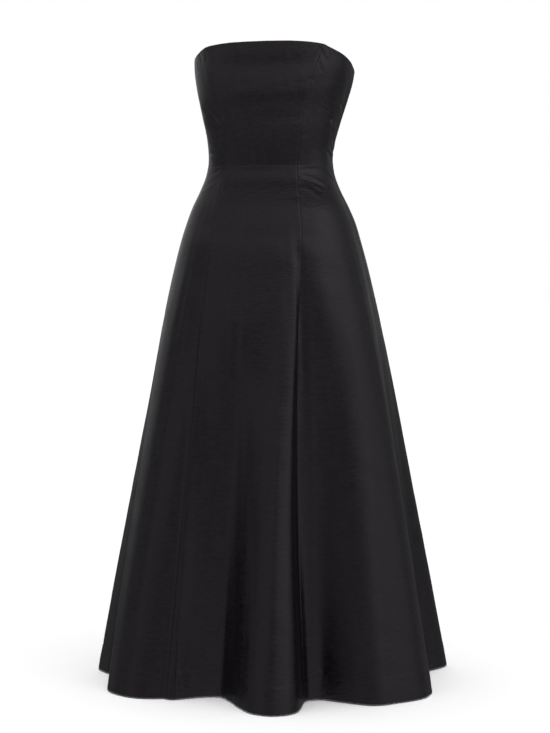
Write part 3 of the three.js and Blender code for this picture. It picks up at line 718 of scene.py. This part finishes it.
def repeat_tree(name):
    """Puts one piece again and again along a path, standing out of it, with a little unevenness."""
    tree = bpy.data.node_groups.new(name, "GeometryNodeTree")
    socket(tree, "Geometry", "Path")
    socket(tree, "Object", "Piece")
    socket(tree, "Float", "Pitch", 0.0015)
    socket(tree, "Float", "Uneven Turn", 0.0)
    socket(tree, "Float", "Uneven Size", 0.0)
    socket(tree, "Int", "Seed", 3)
    socket(tree, "Material", "Finish")
    socket(tree, "Geometry", "Geometry", in_out="OUTPUT")
    inside, outside = new_node(tree, "NodeGroupInput"), new_node(tree, "NodeGroupOutput")
    out_named = new_node(tree, "GeometryNodeInputNamedAttribute", data_type="FLOAT_VECTOR")
    out_named.inputs["Name"].default_value = "out"
    curve = new_node(tree, "GeometryNodeMeshToCurve")
    count = new_node(tree, "GeometryNodeResampleCurve", mode="LENGTH")
    points = new_node(tree, "GeometryNodeCurveToPoints", mode="EVALUATED")
    aim_along = new_node(tree, "FunctionNodeAlignRotationToVector", axis="Y")
    aim_out = new_node(tree, "FunctionNodeAlignRotationToVector", axis="Z", pivot_axis="Y")
    piece = new_node(tree, "GeometryNodeObjectInfo")
    place = new_node(tree, "GeometryNodeInstanceOnPoints")
    turn = new_node(tree, "FunctionNodeRandomValue", data_type="FLOAT_VECTOR")
    negative = new_node(tree, "ShaderNodeMath", operation="MULTIPLY")
    negative.inputs[1].default_value = -1
    rotate = new_node(tree, "GeometryNodeRotateInstances")
    size = new_node(tree, "FunctionNodeRandomValue")
    size.inputs[3].default_value = 1.0
    low = new_node(tree, "ShaderNodeMath", operation="SUBTRACT")
    low.inputs[0].default_value = 1
    real = new_node(tree, "GeometryNodeRealizeInstances")
    finish = new_node(tree, "GeometryNodeSetMaterial")
    for source, target in (
        (inside.outputs["Path"], curve.inputs["Mesh"]),
        (curve.outputs["Curve"], count.inputs["Curve"]),
        (inside.outputs["Pitch"], count.inputs["Length"]),
        (count.outputs["Curve"], points.inputs["Curve"]),
        (points.outputs["Tangent"], aim_along.inputs["Vector"]),
        (aim_along.outputs["Rotation"], aim_out.inputs["Rotation"]),
        (out_named.outputs["Attribute"], aim_out.inputs["Vector"]),
        (inside.outputs["Piece"], piece.inputs["Object"]),
        (points.outputs["Points"], place.inputs["Points"]),
        (piece.outputs["Geometry"], place.inputs["Instance"]),
        (aim_out.outputs["Rotation"], place.inputs["Rotation"]),
        (inside.outputs["Uneven Size"], low.inputs[1]),
        (low.outputs[0], size.inputs[2]),
        (inside.outputs["Seed"], size.inputs["Seed"]),
        (size.outputs[1], place.inputs["Scale"]),
        (place.outputs["Instances"], rotate.inputs["Instances"]),
        (inside.outputs["Uneven Turn"], negative.inputs[0]),
        (negative.outputs[0], turn.inputs[0]),
        (inside.outputs["Uneven Turn"], turn.inputs[1]),
        (inside.outputs["Seed"], turn.inputs["Seed"]),
        (turn.outputs[0], rotate.inputs["Rotation"]),
        (rotate.outputs["Instances"], real.inputs["Geometry"]),
        (real.outputs["Geometry"], finish.inputs["Geometry"]),
        (inside.outputs["Finish"], finish.inputs["Material"]),
        (finish.outputs["Geometry"], outside.inputs["Geometry"]),
    ):
        tree.links.new(source, target)
    return tree


def shaped_mesh(made):
    """An object's mesh as its modifiers shape it, for an object that is then left without them."""
    bpy.context.view_layer.update()
    evaluated = made.evaluated_get(bpy.context.evaluated_depsgraph_get())
    mesh = bpy.data.meshes.new_from_object(evaluated)
    made.modifiers.clear()
    return mesh


def repeated(name, path, piece, tree, finish, **sizes):
    """The path's repeated pieces as one plain mesh on an object at the origin."""
    modifier = path.modifiers.new("repeat", "NODES")
    modifier.node_group = tree
    names = {s.name: s.identifier for s in tree.interface.items_tree if s.in_out == "INPUT"}
    modifier[names["Piece"]] = piece
    modifier[names["Finish"]] = finish
    for key, value in sizes.items():
        modifier[names[key.replace("_", " ").title()]] = value
    mesh = shaped_mesh(path)
    bpy.data.objects.remove(path)
    mesh.name = name
    return new_object(name, mesh)


BAR_RINGS = 5
BAR_SIDES = 6


def bar(name, corner):
    """A short closed bar. Its corners' places in mm come from the share along it and the turn round it."""
    vertices, faces = [], []
    for r in range(BAR_RINGS):
        for s in range(BAR_SIDES):
            place = corner(r / (BAR_RINGS - 1), 2 * math.pi * s / BAR_SIDES)
            vertices.append([value * MM for value in place])
            if r < BAR_RINGS - 1:
                a, b = r * BAR_SIDES + s, r * BAR_SIDES + (s + 1) % BAR_SIDES
                faces.append((a, a + BAR_SIDES, b + BAR_SIDES, b))
    faces.append(tuple(range(BAR_SIDES)))
    faces.append(tuple(reversed(range(len(vertices) - BAR_SIDES, len(vertices)))))
    return plain_object(name, vertices, faces)


def small_tooth():
    """One turn of the zip's coil, seen as a short rounded bar across it."""
    length, lift, radius = 3.6, 0.55, 0.36

    def corner(share, turn):
        middle = lift * math.cos((share - 0.5) * math.pi)
        return (share - 0.5) * length, radius * math.cos(turn), middle + radius * math.sin(turn)

    return bar("tooth_pattern", corner)


def small_stitch(length, radius):
    """One stitch of thread, a bar along the path that dips into the cloth at both ends."""

    def corner(share, turn):
        swell = math.sin(math.pi * share)
        middle, thick = radius * (1.5 * swell - 0.7), radius * (0.45 + 0.55 * swell)
        return thick * math.cos(turn), (share - 0.5) * length, middle - thick * math.sin(turn)

    return bar("stitch_pattern", corner)


class Finish:
    """A procedural material, built node by node."""

    def __init__(self, name, **values):
        self.material = bpy.data.materials.new(name)
        self.material.use_nodes = True
        self.tree = self.material.node_tree
        self.shader = self.tree.nodes["Principled BSDF"]
        for key, value in values.items():
            self.shader.inputs[key.replace("_", " ")].default_value = value

    def node(self, kind, *inputs, **settings):
        made = new_node(self.tree, kind, **settings)
        for i, value in enumerate(inputs):
            self.feed(made.inputs[i], value)
        return made

    def feed(self, target, value):
        if value is None:
            return
        if isinstance(value, bpy.types.NodeSocket):
            self.tree.links.new(value, target)
        else:
            target.default_value = value

    def give(self, name, value):
        self.feed(self.shader.inputs[name], value)

    def maths(self, operation, a, b):
        return self.node("ShaderNodeMath", a, b, operation=operation).outputs[0]

    def bands(self, place, direction, scale, **values):
        made = self.node("ShaderNodeTexWave", wave_type="BANDS", bands_direction=direction)
        self.feed(made.inputs["Vector"], place)
        for key, value in {"Scale": scale, **values}.items():
            made.inputs[key].default_value = value
        return made.outputs["Fac"]

    def cut_mm(self, across=1.0, along=1.0):
        """The place on the cut cloth in millimetres, across and along its length."""
        uv = self.node("ShaderNodeUVMap", uv_map="cut").outputs["UV"]
        scaled = self.node("ShaderNodeVectorMath", uv, (across / MM, along / MM, 0.0), operation="MULTIPLY")
        return scaled.outputs[0]

    def noise(self, place, scale, detail=2.0, rough=0.5):
        made = self.node("ShaderNodeTexNoise")
        self.feed(made.inputs["Vector"], place)
        made.inputs["Scale"].default_value = scale
        made.inputs["Detail"].default_value = detail
        made.inputs["Roughness"].default_value = rough
        return made.outputs["Fac"]

    def between(self, value, low, high, from_low=0.0, from_high=1.0):
        made = self.node("ShaderNodeMapRange")
        for key, number in (("Value", value), ("From Min", from_low), ("From Max", from_high),
                            ("To Min", low), ("To Max", high)):
            self.feed(made.inputs[key], number)
        return made.outputs["Result"]

    def mixed(self, share, dark, light):
        made = self.node("ShaderNodeMix", data_type="RGBA")
        self.feed(made.inputs["Factor"], share)
        made.inputs["A"].default_value = (*dark, 1)
        made.inputs["B"].default_value = (*light, 1)
        return made.outputs["Result"]

    def raised(self, height, distance_mm, strength=1.0, under=None):
        made = self.node("ShaderNodeBump")
        made.inputs["Distance"].default_value = distance_mm * MM
        made.inputs["Strength"].default_value = strength
        self.feed(made.inputs["Height"], height)
        if under is not None:
            self.feed(made.inputs["Normal"], under)
        return made.outputs["Normal"]


def satin():
    made = Finish("satin", IOR=1.45, Specular_IOR_Level=0.405, Specular_Tint=(0.96, 0.88, 1.0, 1.0),
                  Anisotropic=0.45)
    tangent = made.node("ShaderNodeTangent", direction_type="UV_MAP", uv_map="cut")
    made.give("Tangent", tangent.outputs["Tangent"])
    place = made.cut_mm()
    mottle = made.noise(place, 0.022, 3.0, 0.55)
    slubs = made.noise(made.cut_mm(0.12, 1.0), 0.26, 3.0, 0.65)
    clouds = made.noise(made.cut_mm(0.7, 1.0), 0.14, 3.0, 0.65)
    lint = made.noise(place, 0.8, 2.0, 0.7)
    tone = made.maths("ADD", made.maths("MULTIPLY", clouds, 0.5), made.maths("MULTIPLY", slubs, 0.5))
    paler = made.between(tone, 0.0, 1.0, 0.38, 0.62)
    made.give("Base Color", made.mixed(paler, (0.0004, 0.0003, 0.0004), (0.0044, 0.0030, 0.0045)))
    tone = made.maths("ADD", made.maths("MULTIPLY", tone, 0.6), made.maths("MULTIPLY", mottle, 0.4))
    made.give("Roughness", made.between(tone, 0.26, 0.38, 0.38, 0.62))
    warp = made.bands(place, "X", 0.9, Distortion=0.6, Detail=1.0)
    diagonal = made.bands(place, "DIAGONAL", 0.45)
    weave = made.maths("ADD", warp, made.maths("MULTIPLY", diagonal, 0.6))
    normal = made.raised(weave, 0.012, 0.6)
    normal = made.raised(slubs, 0.17, 1.0, normal)
    normal = made.raised(clouds, 0.3, 1.0, normal)
    normal = made.raised(lint, 0.06, 0.6, normal)
    made.give("Normal", normal)
    return made.material


def tape_cloth():
    made = Finish("zip_tape_cloth", Roughness=0.82, IOR=1.45, Specular_IOR_Level=0.3)
    place = made.cut_mm()
    weave = made.maths("MULTIPLY", made.bands(place, "X", 0.42),
                       made.maths("ADD", 0.5, made.bands(place, "Y", 0.8)))
    made.give("Base Color", made.mixed(weave, (0.0045, 0.004, 0.0048), (0.012, 0.0105, 0.0125)))
    made.give("Normal", made.raised(weave, 0.12, 0.8))
    return made.material


def enamel():
    made = Finish("zip_enamel", IOR=1.5, Specular_IOR_Level=0.6)
    place = made.node("ShaderNodeTexCoord").outputs["Object"]
    worn = made.noise(place, 900.0, 3.0, 0.6)
    edge = made.between(made.node("ShaderNodeNewGeometry").outputs["Pointiness"], 0.0, 1.0, 0.53, 0.62)
    rub = made.maths("MULTIPLY", edge, made.between(worn, 0.0, 1.0, 0.42, 0.62))
    made.give("Base Color", made.mixed(rub, (0.006, 0.0055, 0.0065), (0.16, 0.15, 0.14)))
    made.give("Roughness", made.between(worn, 0.24, 0.42))
    made.give("Normal", made.raised(worn, 0.02, 0.4))
    return made.material


def thread():
    made = Finish("black_thread", Roughness=0.6, IOR=1.5, Sheen_Weight=0.1)
    place = made.node("ShaderNodeTexCoord").outputs["Object"]
    twist = made.noise(place, 2600.0, 1.0)
    made.give("Base Color", made.mixed(twist, (0.005, 0.0045, 0.0055), (0.016, 0.0145, 0.017)))
    made.give("Normal", made.raised(twist, 0.04, 0.6))
    return made.material


def coil():
    made = Finish("zip_coil_nylon", Roughness=0.38, IOR=1.5)
    place = made.node("ShaderNodeTexCoord").outputs["Object"]
    tone = made.noise(place, 500.0, 2.0)
    made.give("Base Color", made.mixed(tone, (0.006, 0.0055, 0.0065), (0.013, 0.012, 0.014)))
    made.give("Roughness", made.between(tone, 0.32, 0.46))
    return made.material


SATIN, TAPE, ENAMEL, THREAD, COIL = satin(), tape_cloth(), enamel(), thread(), coil()

for made, kind, name, area, width, length in sheets:
    made.data.materials.append(SATIN)

tape, tape_width, tape_length = tape_sheet()
tape.data.materials.append(TAPE)
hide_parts("zip_tape")
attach(tape, "dress")

repeat = repeat_tree("repeat_along_path")
tooth = small_tooth()
seam_stitch = small_stitch(2.1, 0.22)


def zip_path(name, aside, depth):
    places, normals = zip(*(centre_back(height, aside, depth) for height in zip_heights()[1:-1]))
    return along_path(name, places, [-normal for normal in normals])


path = zip_path("teeth_path", 0.0, TAPE_BACK + 0.75)
teeth = repeated("zip_teeth", path, tooth, repeat, COIL,
                 pitch=0.00125, uneven_turn=0.02, uneven_size=0.03, seed=4)
rows = []
for number, aside in enumerate(STITCH_ROWS):
    path = zip_path(f"stitch_path_{number}", aside, TAPE_BACK + 0.16)
    rows.append(repeated(f"zip_stitches_{number + 1}", path, seam_stitch, repeat, THREAD,
                         pitch=0.0029, uneven_turn=0.06, uneven_size=0.1, seed=10 + number))
for piece in (tooth, seam_stitch):
    bpy.data.objects.remove(piece)
for made in [teeth, *rows]:
    made.data.shade_smooth()
    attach(made, "dress")


def refined(node, name, bevel_mm):
    """A metal piece on its solid's own form, with its edges rounded."""
    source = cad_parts[node]
    mesh = source.data.copy()
    mesh.name = name
    work = bmesh.new()
    work.from_mesh(mesh)
    bmesh.ops.remove_doubles(work, verts=work.verts, dist=0.00001)
    bmesh.ops.dissolve_limit(work, angle_limit=math.radians(2), verts=work.verts, edges=work.edges)
    work.to_mesh(mesh)
    work.free()
    mesh.materials.clear()
    mesh.materials.append(ENAMEL)
    made = new_object(name, mesh)
    bevel = made.modifiers.new("edges", "BEVEL")
    bevel.width, bevel.segments, bevel.limit_method = bevel_mm * MM, 3, "ANGLE"
    bevel.angle_limit = math.radians(35)
    final = shaped_mesh(made)
    made.data = final
    final.shade_smooth()
    final.set_sharp_from_angle(angle=math.radians(40))
    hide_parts(node)
    return made


slider = refined("zip_slider", "zip_slider_enamelled", 0.25)
pull = refined("zip_pull", "zip_pull_enamelled", 0.22)
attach(slider, "dress")
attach(pull, "zip_pull")

# The studio: a pale floor in a soft room that is darker on the wearer's right and behind.
FLOOR_HEIGHT = -1026.0
FLOOR_SIZE = 60.0  # metres
bpy.ops.mesh.primitive_plane_add(size=FLOOR_SIZE, location=(0, 0, FLOOR_HEIGHT * MM))
floor = bpy.context.object
floor.name = "studio_floor"
floor_finish = Finish("studio_floor", Roughness=0.9, Specular_IOR_Level=0.2)
floor_finish.shader.inputs["Base Color"].default_value = (0.86, 0.86, 0.865, 1)
floor.data.materials.append(floor_finish.material)
floor.visible_glossy = floor.visible_diffuse = floor.visible_shadow = False

# The room's soft lights, each as its degrees from the wearer's front and its brightness. The brightness
# runs evenly from one light to the next. LEVEL_LIGHTS are a little below level, and each zone after them
# takes over from the ones before it, between the two upward parts of a direction that it starts with.
LEVEL_LIGHTS = [(-180, 0.1), (-120, 0.1), (-60, 0.4), (0, 0.45), (80, 0.5), (120, 0.2), (180, 0.1)]
ROOM_ZONES = [
    (-0.06, 0.08, [
        (-180, 0.3), (-160, 0.8), (-100, 0.6), (-80, 0.1), (-40, 0.7), (-20, 0.3), (20, 0.35), (80, 1.05),
        (120, 0.3), (180, 0.3),
    ]),
    (0.28, 0.42, [
        (-180, 0.25), (-80, 0.65), (-40, 0.7), (20, 1.15), (60, 1.8), (80, 1.4), (120, 0.35), (180, 0.25),
    ]),
    (0.55, 0.70, [(-180, 0.15), (180, 0.15)]),  # the dim ceiling
    (-0.28, -0.42, [(-180, 1.0), (20, 1.8), (180, 1.0)]),  # the pale floor
]
BACKDROP = 1.0  # what the camera sees behind the dress
OVERHEAD = 2.8
OVERHEAD_WIDTH = 40  # degrees


def light_room():
    world = bpy.data.worlds.new("studio_room")
    bpy.context.scene.world = world
    world.use_nodes = True
    tree = world.node_tree
    links = tree.links
    background = tree.nodes["Background"]
    parts = new_node(tree, "ShaderNodeSeparateXYZ")
    links.new(new_node(tree, "ShaderNodeTexCoord").outputs["Generated"], parts.inputs[0])
    ahead = new_node(tree, "ShaderNodeMath", operation="MULTIPLY")
    ahead.inputs[1].default_value = -1
    links.new(parts.outputs["Y"], ahead.inputs[0])
    angle = new_node(tree, "ShaderNodeMath", operation="ARCTAN2")
    links.new(parts.outputs["X"], angle.inputs[0])
    links.new(ahead.outputs[0], angle.inputs[1])
    share = new_node(tree, "ShaderNodeMapRange")
    share.inputs["From Min"].default_value = -math.pi
    share.inputs["From Max"].default_value = math.pi
    links.new(angle.outputs[0], share.inputs["Value"])

    def ring(lights):
        """Brightness by the direction round the dress, from a few soft lights."""
        ramp = new_node(tree, "ShaderNodeValToRGB")
        elements = ramp.color_ramp.elements
        elements.remove(elements[-1])
        brightest = max(value for _, value in lights)
        for number, (degrees, value) in enumerate(lights):
            element = elements[0] if number == 0 else elements.new((degrees + 180) / 360)
            element.position = (degrees + 180) / 360
            element.color = (*[value / brightest] * 3, 1)
        links.new(share.outputs[0], ramp.inputs[0])
        around = new_node(tree, "ShaderNodeMath", operation="MULTIPLY")
        around.inputs[1].default_value = brightest
        links.new(ramp.outputs["Color"], around.inputs[0])
        return around.outputs[0]

    room = ring(LEVEL_LIGHTS)
    for starts, whole, lights in ROOM_ZONES:
        zone = new_node(tree, "ShaderNodeMapRange", interpolation_type="SMOOTHSTEP")
        zone.inputs["From Min"].default_value = starts
        zone.inputs["From Max"].default_value = whole
        links.new(parts.outputs["Z"], zone.inputs["Value"])
        mix = new_node(tree, "ShaderNodeMix")
        links.new(zone.outputs[0], mix.inputs["Factor"])
        links.new(room, mix.inputs["A"])
        links.new(ring(lights), mix.inputs["B"])
        room = mix.outputs["Result"]
    seen = new_node(tree, "ShaderNodeMix")
    links.new(new_node(tree, "ShaderNodeLightPath").outputs["Is Camera Ray"], seen.inputs["Factor"])
    links.new(room, seen.inputs["A"])
    seen.inputs["B"].default_value = BACKDROP
    links.new(seen.outputs["Result"], background.inputs["Strength"])
    background.inputs["Color"].default_value = (1, 1, 1, 1)


light_room()
overhead = new_object("overhead", bpy.data.lights.new("overhead", "SUN"))
overhead.data.energy = OVERHEAD
overhead.data.angle = math.radians(OVERHEAD_WIDTH)
bpy.context.scene.view_settings.view_transform = "Standard"

# The camera stands a little to the wearer's left of centre front, at hip height, and looks down slightly.
CAMERA_TURN = math.radians(17)
CAMERA_DISTANCE = 3700.0
CAMERA_HEIGHT = -164.6
FOCAL_PIXELS = 1850
TILT_PIXELS = 116.5
SHIFT_PIXELS = 4
LONG_SIDE_PIXELS = 733
SENSOR_WIDTH = 36
CAMERA_TILT = math.atan(TILT_PIXELS / FOCAL_PIXELS)

camera = new_object("camera", bpy.data.cameras.new("camera"))
camera.data.lens = FOCAL_PIXELS * SENSOR_WIDTH / LONG_SIDE_PIXELS
camera.data.sensor_width = SENSOR_WIDTH
camera.data.shift_x = SHIFT_PIXELS / LONG_SIDE_PIXELS
camera.data.clip_start, camera.data.clip_end = 0.05, 100
side, ahead = math.sin(CAMERA_TURN), math.cos(CAMERA_TURN)
camera.location = Vector((side * CAMERA_DISTANCE, -ahead * CAMERA_DISTANCE, CAMERA_HEIGHT)) * MM
aim = Vector((-side * math.cos(CAMERA_TILT), ahead * math.cos(CAMERA_TILT), -math.sin(CAMERA_TILT)))
camera.rotation_mode = "QUATERNION"
camera.rotation_quaternion = aim.to_track_quat("-Z", "Y")
bpy.context.scene.camera = camera
